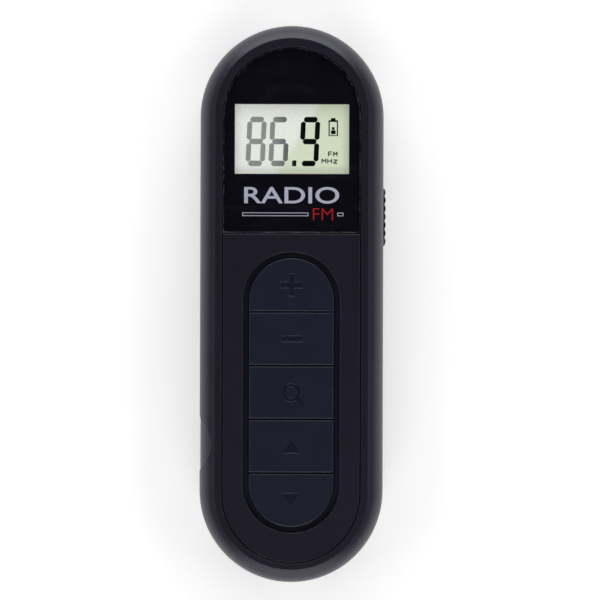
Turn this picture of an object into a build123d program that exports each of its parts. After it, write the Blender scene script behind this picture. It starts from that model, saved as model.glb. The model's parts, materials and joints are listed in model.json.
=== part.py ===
from build123d import *
import math
import os

# A pocket FM radio lying on its back. All sizes are in millimetres.
# Frame: the rear face lies on Z = 0 and +Z points out of the front, X is across the case,
# +Y points to its top end, and the origin is at the middle of the rear face.

# ---- Case ----
CASE_LENGTH = 125.0
CASE_WIDTH = 41.2
CASE_DEPTH = 20.0
CASE_WALL = 1.6
FRONT_EDGE_RADIUS = 7.0
REAR_EDGE_RADIUS = 5.0
BEZEL_INSET = 3.5                # from the outline to the crease round the flat bezel
SEAM_WIDTH = 0.24                # shadow line where the two shells meet
SEAM_DEPTH = 0.25
LIP_THICKNESS = 0.75             # the rear shell's lip reaches up inside the front shell
LIP_HEIGHT = 1.4
LIP_CLEARANCE = 0.06

# ---- Recessed front: lens above, fascia below ----
INSERT_INSET = 5.15              # from the outline to the edge of the recess
INSERT_LOWERED = 0.3             # the recess sits this much nearer the lower end
INSERT_RECESS = 1.5
INSERT_GAP = 0.2
SHELF_THICKNESS = 1.0            # wall left under the recess
TAPE_THICKNESS = 0.1
TAPE_WIDTH = 1.6
FILM_THICKNESS = 0.1
PRINT_GAP = 0.05                 # the print on the film lies in this gap
LENS_THICKNESS = 1.1
LENS_END = 46.65                 # from the top end of the case to the lens's lower edge
LENS_SEAM = 0.3
LENS_CHAMFER = 0.12
FASCIA_THICKNESS = 1.15
FASCIA_EDGE = 0.15

# ---- Display ----
DISPLAY_FROM_TOP = 25.8          # from the top end of the case to the display's centre
WINDOW_WIDTH = 25.4
WINDOW_HEIGHT = 15.5
WINDOW_MARGIN = 0.6              # the shelf's opening is larger than the film's window
LCD_WIDTH = 30.0
LCD_HEIGHT = 18.6
LCD_LEDGE = 2.4                  # strip of the front glass that carries the contacts
LCD_SHEET = 0.55                 # thickness of each of the two glass sheets
POLARISER_THICKNESS = 0.15
POLARISER_MARGIN = 0.4
LCD_AIR = 0.05
LIGHT_GUIDE_THICKNESS = 0.8
REFLECTOR_THICKNESS = 0.1
HOLDER_WALL = 1.2
HOLDER_CLEARANCE = 0.1
HOLDER_PEG_RADIUS = 0.6
STRIP_WIDTH = 1.6
LED_LENGTH = 3.0
LED_DEPTH = 1.1
LED_HEIGHT = 0.8
LED_SPACING = 14.0

# ---- Keys ----
KEY_NAMES = ["volume_up", "volume_down", "search", "tune_up", "tune_down"]
KEYPAD_FROM_END = 42.85          # from the lower end of the case to the keypad's centre
KEYPAD_LENGTH = 59.65
KEYPAD_WIDTH = 18.85
KEY_GAP = 0.3
KEY_EDGE = 0.22
KEY_TOP_DROP = 0.12              # the keys lie this far below the bezel
GROOVE_WIDTH = 1.33
KEY_GUIDE_CLEARANCE = 0.15
KEY_FLANGE = 0.7
KEY_FLANGE_THICKNESS = 0.5
KEY_FLANGE_CLEARANCE = 0.05
KEY_TRAVEL = 0.3
ICON_DEPTH = 0.2
ICON_SIZE = 4.9
ICON_STROKE = 1.3
RING_RADIUS = 2.0
RING_STROKE = 0.7
HANDLE_END = 3.8                 # from the ring's centre to the end of the magnifier's handle
ARROW_WIDTH = 4.0
ARROW_HEIGHT = 3.0

# ---- Board and its switches ----
SWITCH_SPACE = 2.7               # between the board and the shelf
PCB_THICKNESS = 1.0
PCB_INSET = 2.2
PCB_END_GAP = 12.0               # from the lower end of the case to the board's straight edge
TACT_WIDTH = 4.6
TACT_HEIGHT = 1.5
PLUNGER_RADIUS = 1.1
PLUNGER_CLEARANCE = 0.06
PLUNGER_LENGTH = 1.6
PIN_RADIUS = 0.35
PIN_CLEARANCE = 0.1
PIN_STANDOUT = 0.6

# ---- Slider on the right side ----
SLIDER_FROM_TOP = 42.8           # from the top end of the case to the slider's centre
SLIDER_LENGTH = 13.0
SLIDER_WIDTH = 4.4
SLIDER_TRAVEL = 3.0
SLIDER_PROUD = 0.3
RIB_PROUD = 0.55
RIB_COUNT = 7
RIB_PITCH = SLIDER_LENGTH / RIB_COUNT
RIB_RADIUS = 1.4
POCKET_DEPTH = 0.7
POCKET_CLEARANCE = 0.15
STEM_LENGTH = 3.0
STEM_WIDTH = 2.2
STEM_FLANGE = 1.1
STEM_FLANGE_THICKNESS = 0.65
LEVER_SIZE = 1.5
LEVER_CLEARANCE = 0.05
LEVER_GRIP = 1.1                 # length of lever inside the slider's stem
SLIDE_SWITCH_LENGTH = 9.0
SLIDE_SWITCH_WIDTH = 4.5
SLIDE_SWITCH_BELOW_AXIS = 2.2
SLIDE_SWITCH_TO_WALL = 1.6

# ---- Headphone socket in the top end ----
AXIS_BELOW_BOARD = 2.8           # height of the socket and the slider below the board
SOCKET_RADIUS = 1.8
SOCKET_DEPTH = 14.0
BUSH_RADIUS = 2.9
BUSH_CLEARANCE = 0.1
BUSH_DROP = 0.3                  # the bush ends this far inside the case's end
JACK_WIDTH = 6.4
JACK_BACK_WALL = 1.0
JACK_PIN_SPACING = 4.6

# ---- Cells, bay and door ----
CELL_RADIUS = 5.25
CELL_LENGTH = 44.5
CELL_NUB_RADIUS = 1.9
CELL_NUB_LENGTH = 1.0
CELL_EDGE = 0.6
CELL_SPACING = 10.8
CELL_CLEARANCE = 0.25
SPRING_LENGTH = 3.2
SPRING_WIRE_RADIUS = 0.3
SPRING_RADIUS = 3.6
SPRING_TIP_RADIUS = 2.4
SPRING_TURNS = 2.5
CONTACT_THICKNESS = 0.35
CONTACT_WIDTH = 9.0
CONTACT_GAP = 0.03
CONTACT_DIMPLE = 0.9
CONTACT_DIMPLE_RADIUS = 1.6
TAB_WIDTH = 2.0
TAB_CLEARANCE = 0.15
BAY_FROM_END = 14.5              # from the lower end of the case to the bay
BAY_WALL = 1.0
BAY_ROOF = 0.9
DOOR_THICKNESS = 1.4
DOOR_WIDTH = 26.0
DOOR_OVERLAP = 2.5               # the door covers this much beyond the bay's upper end
DOOR_END_HEIGHT = 6.5            # height of the door's turned-up end
DOOR_CLEARANCE = 0.12
DOOR_SEAT_WALL = 1.2
DOOR_SEAT_BORDER = 2.0
TONGUE_WIDTH = 0.8
TONGUE_THICKNESS = 0.6
TONGUE_HEIGHT = 0.5
TONGUE_CLEARANCE = 0.08
GRIP_RIDGES = 5
GRIP_PITCH = 1.8
GRIP_LENGTH = 12.0
GRIP_GROOVE_WIDTH = 0.8
GRIP_GROOVE_DEPTH = 0.4

# ---- Round recess in the left side ----
RECESS_FROM_END = 31.2           # from the lower end of the case to its centre
RECESS_RADIUS = 6.3
RECESS_HEIGHT = 13.1
RECESS_DEPTH = 0.16

# ---- Screws ----
SCREW_RADIUS = 1.0
SCREW_HEAD_RADIUS = 1.9
SCREW_HEAD_HEIGHT = 1.3
SCREW_LENGTH = 9.5
SCREW_SEAT = 6.0                 # height of the face that the heads pull on
SCREW_HOLE_RADIUS = 1.2
SCREW_PILOT_CLEARANCE = 0.02
SCREW_HEAD_CLEARANCE = 0.25
REAR_BOSS_RADIUS = 3.1
FRONT_BOSS_RADIUS = 2.6
BOSS_CLEARANCE = 0.3
UPPER_SCREW_X = 11.0
UPPER_SCREW_FROM_END = 11.0
LOWER_SCREW_X = 8.6
LOWER_SCREW_FROM_END = 8.8
DRIVE_WIDTH = 0.5
DRIVE_LENGTH = 2.2
DRIVE_DEPTH = 0.6
PCB_SCREW_RADIUS = 0.7
PCB_SCREW_HEAD_RADIUS = 1.5
PCB_SCREW_HEAD_HEIGHT = 0.9
PCB_SCREW_LENGTH = 3.0
PCB_SCREW_FROM_SIDE = 5.2
PCB_SCREWS_FROM_TOP = [58.5, 100.5]
PCB_POST_RADIUS = 1.9

# ---- Heights and places that follow from these ----
EDGE_CENTRE_Z = CASE_DEPTH - math.sqrt(FRONT_EDGE_RADIUS**2 - (FRONT_EDGE_RADIUS - BEZEL_INSET)**2)
SHELF_TOP = CASE_DEPTH - INSERT_RECESS
SHELF_BOTTOM = SHELF_TOP - SHELF_THICKNESS
PCB_TOP = SHELF_BOTTOM - SWITCH_SPACE
PCB_BOTTOM = PCB_TOP - PCB_THICKNESS
PARTING = PCB_BOTTOM - AXIS_BELOW_BOARD
TOP_END = CASE_LENGTH / 2
LOWER_END = -CASE_LENGTH / 2
RIGHT_SIDE = CASE_WIDTH / 2
ROUND_CENTRE = (CASE_LENGTH - CASE_WIDTH) / 2
TAPE_TOP = SHELF_TOP + TAPE_THICKNESS
FILM_TOP = TAPE_TOP + FILM_THICKNESS
LENS_EDGE_Y = TOP_END - LENS_END
DISPLAY_Y = TOP_END - DISPLAY_FROM_TOP
KEYPAD_Y = LOWER_END + KEYPAD_FROM_END
KEY_PITCH = KEYPAD_LENGTH / len(KEY_NAMES)
KEY_TOP = CASE_DEPTH - KEY_TOP_DROP
KEY_FLANGE_TOP = SHELF_BOTTOM - KEY_FLANGE_CLEARANCE
KEY_UNDERSIDE = KEY_FLANGE_TOP - KEY_FLANGE_THICKNESS
GLASS_TOP = SHELF_BOTTOM - LCD_AIR - POLARISER_THICKNESS
GLASS_BOTTOM = GLASS_TOP - 2 * LCD_SHEET
GUIDE_TOP = GLASS_BOTTOM - POLARISER_THICKNESS - LCD_AIR
GUIDE_BOTTOM = GUIDE_TOP - LIGHT_GUIDE_THICKNESS
LCD_UPPER_Y = DISPLAY_Y + LCD_HEIGHT / 2
LCD_LOWER_Y = DISPLAY_Y - LCD_HEIGHT / 2
SLIDER_Y = TOP_END - SLIDER_FROM_TOP
SLIDER_MIDDLE_Y = SLIDER_Y - SLIDER_TRAVEL / 2
SLIDE_SWITCH_FACE = RIGHT_SIDE - CASE_WALL - SLIDE_SWITCH_TO_WALL
SLIDE_SWITCH_X = SLIDE_SWITCH_FACE - SLIDE_SWITCH_WIDTH / 2
POCKET_FLOOR = RIGHT_SIDE - POCKET_DEPTH
BUSH_END = TOP_END - BUSH_DROP
JACK_FRONT = ROUND_CENTRE + math.sqrt((RIGHT_SIDE - CASE_WALL)**2 - (JACK_WIDTH / 2)**2) - BUSH_CLEARANCE
JACK_BACK = BUSH_END - SOCKET_DEPTH - JACK_BACK_WALL
CELL_Z = DOOR_THICKNESS + DOOR_CLEARANCE + CELL_CLEARANCE + CELL_RADIUS
BAY_LENGTH = CELL_LENGTH + SPRING_LENGTH + CONTACT_DIMPLE + 2 * CONTACT_THICKNESS + 2 * CONTACT_GAP
BAY_START = LOWER_END + BAY_FROM_END
BAY_STOP = BAY_START + BAY_LENGTH
BAY_HALF_WIDTH = CELL_SPACING / 2 + CELL_RADIUS + CELL_CLEARANCE
BAY_TOP = CELL_Z + CELL_RADIUS + CELL_CLEARANCE
BAY_ROOF_TOP = BAY_TOP + BAY_ROOF
DOOR_SEAT_INSET = DOOR_THICKNESS + DOOR_CLEARANCE
DOOR_TOP_Y = BAY_STOP + DOOR_OVERLAP
TONGUE_END_Y = -ROUND_CENTRE - math.sqrt((RIGHT_SIDE - REAR_EDGE_RADIUS)**2 - (DOOR_WIDTH / 2)**2)


def screw_points():
    """Centres of the four case screws, two near each end of the case."""
    points = []
    for side in (-1, 1):
        points.append((side * UPPER_SCREW_X, TOP_END - UPPER_SCREW_FROM_END))
        points.append((side * LOWER_SCREW_X, LOWER_END + LOWER_SCREW_FROM_END))
    return points


def pcb_screw_points():
    """Centres of the four screws that hold the board to the front shell."""
    x = RIGHT_SIDE - PCB_SCREW_FROM_SIDE
    return [(side * x, TOP_END - drop) for side in (-1, 1) for drop in PCB_SCREWS_FROM_TOP]


# ---- Basic shapes ----
def block(x0, x1, y0, y1, z0, z1):
    """A box between two corners."""
    return Pos((x0 + x1) / 2, (y0 + y1) / 2, (z0 + z1) / 2) * Box(x1 - x0, y1 - y0, z1 - z0)


def block_at(x, y, width, length, z0, z1):
    """A box about an upright line."""
    return block(x - width / 2, x + width / 2, y - length / 2, y + length / 2, z0, z1)


def stadium(width, length, z0, z1, y=0.0):
    """An upright prism with two straight sides and two round ends."""
    return Pos(0, y, z0) * extrude(SlotOverall(length, width, rotation=90), z1 - z0)


def rod(x, y, z0, z1, radius):
    """An upright cylinder."""
    return Pos(x, y, (z0 + z1) / 2) * Cylinder(radius, z1 - z0)


def rod_along_y(x, z, y0, y1, radius):
    """A cylinder along the case."""
    return Pos(x, (y0 + y1) / 2, z) * Rot(90, 0, 0) * Cylinder(radius, y1 - y0)


def side_slot(y, z, length, width, x0, x1):
    """A round-ended bar that points out of the case's side."""
    plane = Plane(origin=(x0, y, z), x_dir=(0, 1, 0), z_dir=(1, 0, 0))
    return extrude(plane * SlotOverall(length, width), x1 - x0)


def everything(z0, z1):
    """A slab that is larger than the case."""
    return block(-CASE_WIDTH, CASE_WIDTH, -CASE_LENGTH, CASE_LENGTH, z0, z1)


def case_form(inset, top=CASE_DEPTH):
    """The outer form of the case, moved inwards all round by inset and cut flat at top."""
    full_top = EDGE_CENTRE_Z + FRONT_EDGE_RADIUS - inset
    form = stadium(CASE_WIDTH - 2 * inset, CASE_LENGTH - 2 * inset, inset, full_top)
    form = fillet(form.faces().sort_by(Axis.Z)[-1].edges(), FRONT_EDGE_RADIUS - inset)
    form = fillet(form.faces().sort_by(Axis.Z)[0].edges(), REAR_EDGE_RADIUS - inset)
    return form - everything(top, top + CASE_DEPTH)


def outline_band(outer_inset, inner_inset, z0, z1):
    """A ring that follows the case's outline between two insets."""
    outer = stadium(CASE_WIDTH - 2 * outer_inset, CASE_LENGTH - 2 * outer_inset, z0, z1)
    inner = stadium(CASE_WIDTH - 2 * inner_inset, CASE_LENGTH - 2 * inner_inset, z0, z1)
    return outer - inner


def insert_outline(gap, z0, z1):
    """The round-ended outline of the recessed front, less a gap all round."""
    inset = INSERT_INSET + gap
    return Pos(0, -INSERT_LOWERED, 0) * stadium(CASE_WIDTH - 2 * inset, CASE_LENGTH - 2 * inset, z0, z1)


# ---- Spaces that both shells leave open ----
def slider_pocket():
    """Sunk track of the slider and the slot for its stem."""
    length = SLIDER_LENGTH + SLIDER_TRAVEL + 2 * POCKET_CLEARANCE
    width = SLIDER_WIDTH + 2 * POCKET_CLEARANCE
    track = side_slot(SLIDER_MIDDLE_Y, PARTING, length, width, POCKET_FLOOR, RIGHT_SIDE + 1)
    slot_length = STEM_LENGTH + SLIDER_TRAVEL + 2 * POCKET_CLEARANCE
    slot_half_width = STEM_WIDTH / 2 + POCKET_CLEARANCE
    y0 = SLIDER_MIDDLE_Y - slot_length / 2
    y1 = SLIDER_MIDDLE_Y + slot_length / 2
    inner = RIGHT_SIDE - CASE_WALL - 1
    return track + block(inner, RIGHT_SIDE, y0, y1, PARTING - slot_half_width, PARTING + slot_half_width)


def socket_hole():
    """Hole for the socket's bush, with a shallow ring sunk round it."""
    radius = BUSH_RADIUS + BUSH_CLEARANCE
    hole = rod_along_y(0, PARTING, TOP_END - CASE_WALL - 1, TOP_END + 1, radius)
    ring = rod_along_y(0, PARTING, TOP_END - 2 * BUSH_DROP, TOP_END + 1, radius + 2 * BUSH_DROP)
    return hole + ring


def control_zones(extra):
    """Stretches of the parting line where the lip stops, at the slider and the socket."""
    half = (SLIDER_LENGTH + SLIDER_TRAVEL) / 2 + 1 + extra
    beside_slider = block(0, CASE_WIDTH, SLIDER_MIDDLE_Y - half, SLIDER_MIDDLE_Y + half, 0, CASE_DEPTH)
    half = BUSH_RADIUS + 2 + extra
    beside_socket = block(-half, half, ROUND_CENTRE, CASE_LENGTH, 0, CASE_DEPTH)
    return beside_slider + beside_socket


def side_recess():
    """Shallow round recess that follows the curve of the left side."""
    centre = Pos(-RIGHT_SIDE, LOWER_END + RECESS_FROM_END, RECESS_HEIGHT)
    drum = centre * Rot(0, 90, 0) * Cylinder(RECESS_RADIUS, 2 * BEZEL_INSET)
    return drum - case_form(RECESS_DEPTH)


def seam():
    """Shadow line round the case where the shells meet."""
    return outline_band(-1, SEAM_DEPTH, PARTING - SEAM_WIDTH / 2, PARTING + SEAM_WIDTH / 2)


# ---- Case ----
def make_front_shell():
    shell = case_form(0) - case_form(CASE_WALL, SHELF_BOTTOM) - everything(-1, PARTING)
    for x, y in screw_points():
        shell += rod(x, y, PARTING, SHELF_TOP - SHELF_THICKNESS / 2, FRONT_BOSS_RADIUS)
    for x, y in pcb_screw_points():
        shell += rod(x, y, PCB_TOP, SHELF_TOP - SHELF_THICKNESS / 2, PCB_POST_RADIUS)
    for x, y in screw_points():
        pilot_top = SCREW_SEAT + SCREW_LENGTH + 0.5
        shell -= rod(x, y, PARTING - 1, pilot_top, SCREW_RADIUS + SCREW_PILOT_CLEARANCE)
    for x, y in pcb_screw_points():
        pilot_top = PCB_BOTTOM + PCB_SCREW_LENGTH + 0.3
        shell -= rod(x, y, PCB_BOTTOM, pilot_top, PCB_SCREW_RADIUS + SCREW_PILOT_CLEARANCE)
    rebate_inset = CASE_WALL - LIP_THICKNESS - LIP_CLEARANCE
    rebate_top = PARTING + LIP_HEIGHT + LIP_CLEARANCE
    rebate = outline_band(rebate_inset, CASE_WALL + 0.1, PARTING - 1, rebate_top)
    shell -= rebate - control_zones(0)
    shell -= insert_outline(0, SHELF_TOP, CASE_DEPTH + 1)
    window_width = WINDOW_WIDTH + 2 * WINDOW_MARGIN
    window_height = WINDOW_HEIGHT + 2 * WINDOW_MARGIN
    shell -= block_at(0, DISPLAY_Y, window_width, window_height, SHELF_BOTTOM - 1, SHELF_TOP + 1)
    guide = 2 * KEY_GUIDE_CLEARANCE
    opening = stadium(KEYPAD_WIDTH + guide, KEYPAD_LENGTH + guide, SHELF_BOTTOM - 1, SHELF_TOP + 1, KEYPAD_Y)
    shell -= opening
    return shell - slider_pocket() - socket_hole() - side_recess() - seam()


def door_zone(grow):
    """The part of the rear that the door covers, with a margin all round."""
    half = DOOR_WIDTH / 2 + grow
    return block(-half, half, -CASE_LENGTH, DOOR_TOP_Y + grow, -1, DOOR_END_HEIGHT + grow)


def make_rear_shell():
    shell = case_form(0) - case_form(CASE_WALL)
    border = door_zone(DOOR_CLEARANCE + DOOR_SEAT_BORDER)
    shell += (case_form(0) - case_form(DOOR_SEAT_INSET + DOOR_SEAT_WALL)) & border
    shell -= everything(PARTING, CASE_DEPTH + 1)
    lip = outline_band(CASE_WALL - LIP_THICKNESS, CASE_WALL, PARTING - 1, PARTING + LIP_HEIGHT)
    shell += lip - control_zones(LIP_CLEARANCE)
    wall_half = BAY_HALF_WIDTH + BAY_WALL
    shell += block(
        -wall_half, wall_half, BAY_START - BAY_WALL, BAY_STOP + BAY_WALL, DOOR_SEAT_INSET, BAY_ROOF_TOP
    )
    for y in (BAY_START + BAY_WALL, BAY_STOP - BAY_WALL):
        for side in (-1, 1):
            shell += rod(side * CELL_SPACING / 2, y, BAY_TOP, PCB_BOTTOM, 2 * BAY_WALL)
    for x, y in screw_points():
        shell += rod(x, y, 0, PARTING, REAR_BOSS_RADIUS) & case_form(0)
    shell -= door_zone(DOOR_CLEARANCE) - case_form(DOOR_SEAT_INSET)
    for side in (-1, 1):
        shell -= door_tongue(side, TONGUE_CLEARANCE)
    shell -= block(-BAY_HALF_WIDTH, BAY_HALF_WIDTH, BAY_START, BAY_STOP, -1, BAY_TOP)
    for x, y in screw_points():
        shell -= rod(x, y, -1, SCREW_SEAT, SCREW_HEAD_RADIUS + SCREW_HEAD_CLEARANCE)
        shell -= rod(x, y, -1, PARTING + 1, SCREW_HOLE_RADIUS)
    for side in (-1, 1):
        shell -= contact_tab(side, TAB_CLEARANCE)
    return shell - slider_pocket() - socket_hole() - side_recess() - seam()


def door_tongue(side, grow):
    """Rail along one edge of the door, or with grow the groove that it slides in."""
    inner = DOOR_WIDTH / 2 - 1 - grow
    outer = DOOR_WIDTH / 2 + TONGUE_WIDTH + grow
    start = DOOR_TOP_Y - 1 + grow
    stop = TONGUE_END_Y if grow == 0 else -CASE_LENGTH
    z0 = TONGUE_HEIGHT - grow
    z1 = TONGUE_HEIGHT + TONGUE_THICKNESS + grow
    return block(min(side * inner, side * outer), max(side * inner, side * outer), stop, start, z0, z1)


def make_battery_door():
    door = (case_form(0) - case_form(DOOR_THICKNESS)) & door_zone(0)
    for side in (-1, 1):
        door += door_tongue(side, 0)
    first = -ROUND_CENTRE - (GRIP_RIDGES - 1) / 2 * GRIP_PITCH
    for ridge in range(GRIP_RIDGES):
        y = first + ridge * GRIP_PITCH
        door -= block_at(0, y, GRIP_LENGTH, GRIP_GROOVE_WIDTH, -1, GRIP_GROOVE_DEPTH)
    return door


def make_case_screws():
    """Four pan-head screws with crossed recesses, driven from the rear."""
    screws = []
    for x, y in screw_points():
        head = rod(x, y, SCREW_SEAT - SCREW_HEAD_HEIGHT, SCREW_SEAT, SCREW_HEAD_RADIUS)
        head = fillet(head.edges().sort_by(Axis.Z)[0], 0.4)
        shank = rod(x, y, SCREW_SEAT, SCREW_SEAT + SCREW_LENGTH, SCREW_RADIUS)
        shank = chamfer(shank.edges().sort_by(Axis.Z)[-1], 0.4)
        floor = SCREW_SEAT - SCREW_HEAD_HEIGHT
        cross = block_at(x, y, DRIVE_WIDTH, DRIVE_LENGTH, floor - 1, floor + DRIVE_DEPTH)
        cross += block_at(x, y, DRIVE_LENGTH, DRIVE_WIDTH, floor - 1, floor + DRIVE_DEPTH)
        screws.append(head + shank - cross)
    return screws


def make_pcb_screws():
    """Four small screws under the board."""
    screws = []
    for x, y in pcb_screw_points():
        head = rod(x, y, PCB_BOTTOM - PCB_SCREW_HEAD_HEIGHT, PCB_BOTTOM, PCB_SCREW_HEAD_RADIUS)
        shank = rod(x, y, PCB_BOTTOM, PCB_BOTTOM + PCB_SCREW_LENGTH, PCB_SCREW_RADIUS)
        screws.append(head + shank)
    return screws


# ---- Recessed front ----
def make_display_lens():
    lens_bottom = FILM_TOP + PRINT_GAP
    lens = insert_outline(INSERT_GAP, lens_bottom, lens_bottom + LENS_THICKNESS)
    lens &= block(-CASE_WIDTH, CASE_WIDTH, LENS_EDGE_Y, CASE_LENGTH, 0, 2 * CASE_DEPTH)
    return chamfer(lens.faces().sort_by(Axis.Z)[-1].edges(), LENS_CHAMFER)


def make_lens_mask_film():
    film = insert_outline(INSERT_GAP, TAPE_TOP, FILM_TOP)
    film &= block(-CASE_WIDTH, CASE_WIDTH, LENS_EDGE_Y, CASE_LENGTH, 0, 2 * CASE_DEPTH)
    return film - block_at(0, DISPLAY_Y, WINDOW_WIDTH, WINDOW_HEIGHT, 0, CASE_DEPTH)


def make_lens_tape():
    tape = insert_outline(INSERT_GAP, SHELF_TOP, TAPE_TOP)
    tape &= block(-CASE_WIDTH, CASE_WIDTH, LENS_EDGE_Y, CASE_LENGTH, 0, CASE_DEPTH)
    hollow = insert_outline(INSERT_GAP + TAPE_WIDTH, SHELF_TOP - 1, TAPE_TOP + 1)
    hollow &= block(-CASE_WIDTH, CASE_WIDTH, LENS_EDGE_Y + TAPE_WIDTH, CASE_LENGTH, 0, CASE_DEPTH)
    return tape - hollow


def fascia_outline(z0, z1):
    """The lower part of the recessed front, with the opening that leaves the groove round the keys."""
    panel = insert_outline(INSERT_GAP, z0, z1)
    panel &= block(-CASE_WIDTH, CASE_WIDTH, -CASE_LENGTH, LENS_EDGE_Y - LENS_SEAM, 0, 2 * CASE_DEPTH)
    width = KEYPAD_WIDTH + 2 * GROOVE_WIDTH
    length = KEYPAD_LENGTH + 2 * GROOVE_WIDTH
    return panel - stadium(width, length, z0 - 1, z1 + 1, KEYPAD_Y)


def make_keypad_fascia():
    panel = fascia_outline(TAPE_TOP, TAPE_TOP + FASCIA_THICKNESS)
    return fillet(panel.faces().sort_by(Axis.Z)[-1].edges(), FASCIA_EDGE)


def make_fascia_tape():
    """Adhesive frame under the fascia, a little smaller than it."""
    tape = fascia_outline(SHELF_TOP, TAPE_TOP) & insert_outline(2 * INSERT_GAP, SHELF_TOP, TAPE_TOP)
    width = KEYPAD_WIDTH + 3 * GROOVE_WIDTH
    length = KEYPAD_LENGTH + 3 * GROOVE_WIDTH
    return tape - stadium(width, length, SHELF_TOP, TAPE_TOP, KEYPAD_Y)


# ---- Keys ----
def key_centre(index):
    return KEYPAD_Y + (2 - index) * KEY_PITCH


def key_icon(index):
    """The mark sunk in a key's face: plus, minus, magnifier, up arrow or down arrow."""
    x, y = 0, key_centre(index)
    z0, z1 = KEY_TOP - ICON_DEPTH, KEY_TOP + 1
    bar = block_at(x, y, ICON_SIZE, ICON_STROKE, z0, z1)
    if KEY_NAMES[index] == "volume_up":
        return bar + block_at(x, y, ICON_STROKE, ICON_SIZE, z0, z1)
    if KEY_NAMES[index] == "volume_down":
        return bar
    if KEY_NAMES[index] == "search":
        ring = rod(x, y, z0, z1, RING_RADIUS) - rod(x, y, z0, z1, RING_RADIUS - RING_STROKE)
        handle_start = RING_RADIUS - RING_STROKE / 2
        handle = block(handle_start, HANDLE_END, -RING_STROKE / 2, RING_STROKE / 2, z0, z1)
        return ring + Pos(x, y, 0) * Rot(0, 0, -45) * handle
    point = 1 if KEY_NAMES[index] == "tune_up" else -1
    corners = [(-ARROW_WIDTH / 2, -point * ARROW_HEIGHT / 2), (ARROW_WIDTH / 2, -point * ARROW_HEIGHT / 2)]
    corners.append((0, point * ARROW_HEIGHT / 2))
    arrow = make_face(Polyline(*corners, close=True))
    return Pos(x, y, z0) * extrude(arrow, z1 - z0)


def key_strip(index):
    """The stretch of the keypad that one key fills. The end keys run out past its round ends."""
    y = key_centre(index)
    half = (KEY_PITCH - KEY_GAP) / 2
    y0 = -CASE_LENGTH if index == len(KEY_NAMES) - 1 else y - half
    y1 = CASE_LENGTH if index == 0 else y + half
    return block(-CASE_WIDTH, CASE_WIDTH, y0, y1, 0, 2 * CASE_DEPTH)


def make_key(index):
    """One key: its slice of the round-ended keypad, with a flange that holds it under the shelf."""
    cap = stadium(KEYPAD_WIDTH, KEYPAD_LENGTH, KEY_UNDERSIDE, KEY_TOP, KEYPAD_Y) & key_strip(index)
    cap = fillet(cap.faces().sort_by(Axis.Z)[-1].edges(), KEY_EDGE)
    width = KEYPAD_WIDTH + 2 * KEY_FLANGE
    length = KEYPAD_LENGTH + 2 * KEY_FLANGE
    flange = stadium(width, length, KEY_UNDERSIDE, KEY_FLANGE_TOP, KEYPAD_Y) & key_strip(index)
    return cap + flange - key_icon(index)


def make_plunger(index):
    return rod(0, key_centre(index), KEY_UNDERSIDE - PLUNGER_LENGTH, KEY_UNDERSIDE, PLUNGER_RADIUS)


def make_tact_switch_bodies():
    bodies = []
    for index in range(len(KEY_NAMES)):
        y = key_centre(index)
        body = block_at(0, y, TACT_WIDTH, TACT_WIDTH, PCB_TOP, PCB_TOP + TACT_HEIGHT)
        floor = KEY_UNDERSIDE - PLUNGER_LENGTH - KEY_TRAVEL - PLUNGER_CLEARANCE
        body -= rod(0, y, floor, PCB_TOP + 2 * TACT_HEIGHT, PLUNGER_RADIUS + PLUNGER_CLEARANCE)
        bodies.append(body)
    return bodies


# ---- Display stack ----
def make_lcd_front_polariser():
    width = LCD_WIDTH - 2 * POLARISER_MARGIN
    height = LCD_HEIGHT - 2 * POLARISER_MARGIN
    return block_at(0, DISPLAY_Y, width, height, GLASS_TOP, GLASS_TOP + POLARISER_THICKNESS)


def make_lcd_glass():
    """Two sheets: the front one is longer and its ledge carries the contacts."""
    half = LCD_WIDTH / 2
    front = block(-half, half, LCD_LOWER_Y - LCD_LEDGE, LCD_UPPER_Y, GLASS_TOP - LCD_SHEET, GLASS_TOP)
    rear = block(-half, half, LCD_LOWER_Y, LCD_UPPER_Y, GLASS_BOTTOM, GLASS_TOP - LCD_SHEET)
    return front + rear


def make_lcd_rear_polariser():
    width = LCD_WIDTH - 2 * POLARISER_MARGIN
    height = LCD_HEIGHT - 2 * POLARISER_MARGIN
    return block_at(0, DISPLAY_Y, width, height, GLASS_BOTTOM - POLARISER_THICKNESS, GLASS_BOTTOM)


def guide_block(z0, z1):
    """Light guide's outline: under the rear glass, with room for the lamps above it."""
    half = LCD_WIDTH / 2 - POLARISER_MARGIN
    upper = LCD_UPPER_Y - LED_DEPTH - 2 * POLARISER_MARGIN
    return block(-half, half, LCD_LOWER_Y, upper, z0, z1)


def make_lcd_light_guide():
    return guide_block(GUIDE_BOTTOM, GUIDE_TOP)


def make_lcd_reflector():
    return guide_block(GUIDE_BOTTOM - REFLECTOR_THICKNESS, GUIDE_BOTTOM)


def make_backlight_leds():
    y = LCD_UPPER_Y - POLARISER_MARGIN - LED_DEPTH / 2
    return [
        block_at(side * LED_SPACING / 2, y, LED_LENGTH, LED_DEPTH, PCB_TOP, PCB_TOP + LED_HEIGHT)
        for side in (-1, 1)
    ]


def holder_pegs(radius, z0):
    """Pegs under the display's holder, or with a larger radius their holes in the board."""
    x = LCD_WIDTH / 2 + HOLDER_CLEARANCE + HOLDER_WALL / 2
    return rod(x, LCD_UPPER_Y, z0, PCB_TOP, radius) + rod(-x, LCD_LOWER_Y, z0, PCB_TOP, radius)


def make_lcd_holder():
    half = LCD_WIDTH / 2 + HOLDER_CLEARANCE
    y0 = LCD_LOWER_Y - LCD_LEDGE - HOLDER_CLEARANCE
    y1 = LCD_UPPER_Y + HOLDER_CLEARANCE
    wall = HOLDER_WALL
    frame = block(-half - wall, half + wall, y0 - wall, y1 + wall, PCB_TOP, GLASS_TOP)
    frame -= block(-half, half, y0, y1, PCB_TOP - 1, GLASS_TOP + 1)
    return frame + holder_pegs(HOLDER_PEG_RADIUS, PCB_BOTTOM)


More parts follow.
